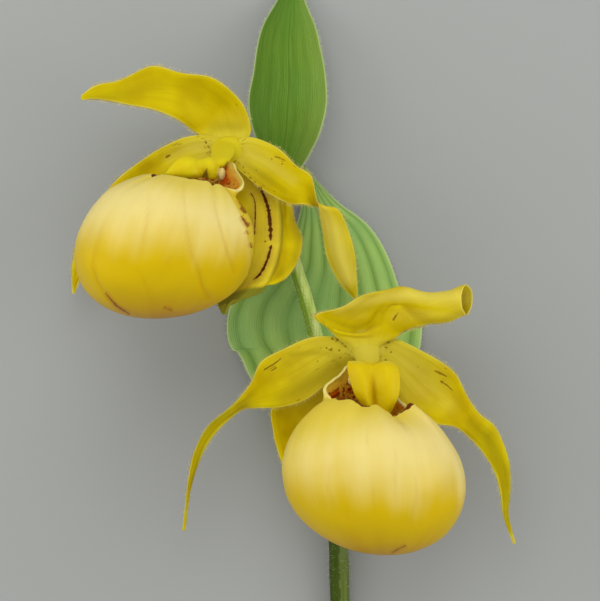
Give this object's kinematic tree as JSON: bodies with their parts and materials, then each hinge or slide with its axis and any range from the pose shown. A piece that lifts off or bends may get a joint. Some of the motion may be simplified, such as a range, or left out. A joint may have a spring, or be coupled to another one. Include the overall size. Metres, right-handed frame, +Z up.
{
  "type": "cut orchid stem",
  "caption": "Cut flowering stem of a yellow slipper orchid lying on its back, with pouched blooms, drooping twisted petals and clasping leaves.",
  "frame": {"origin": "on the surface the stem lies on, under the middle of its length and width", "axes": "+Y along the stem from its cut end to the tip of the upper leaf, +Z up from the surface, towards the fronts of the blooms"},
  "size_m": [0.1222, 0.2236, 0.0644],
  "materials": {
    "stem": "satin",
    "leaf": "satin",
    "petal": "matte",
    "pouch": "satin",
    "column": "satin"
  },
  "bodies": {
    "root": {"stem": "stem", "lower_leaf": "leaf", "upper_leaf": "leaf", "lower_ovary": "stem", "lower_dorsal_sepal": "petal", "lower_synsepal": "petal", "lower_petal_left": "petal", "lower_petal_right": "petal", "lower_lip": "pouch", "lower_column": "column", "upper_ovary": "stem", "upper_dorsal_sepal": "petal", "upper_synsepal": "petal", "upper_petal_left": "petal", "upper_petal_right": "petal", "upper_lip": "pouch", "upper_column": "column"}
  },
  "joints": []
}
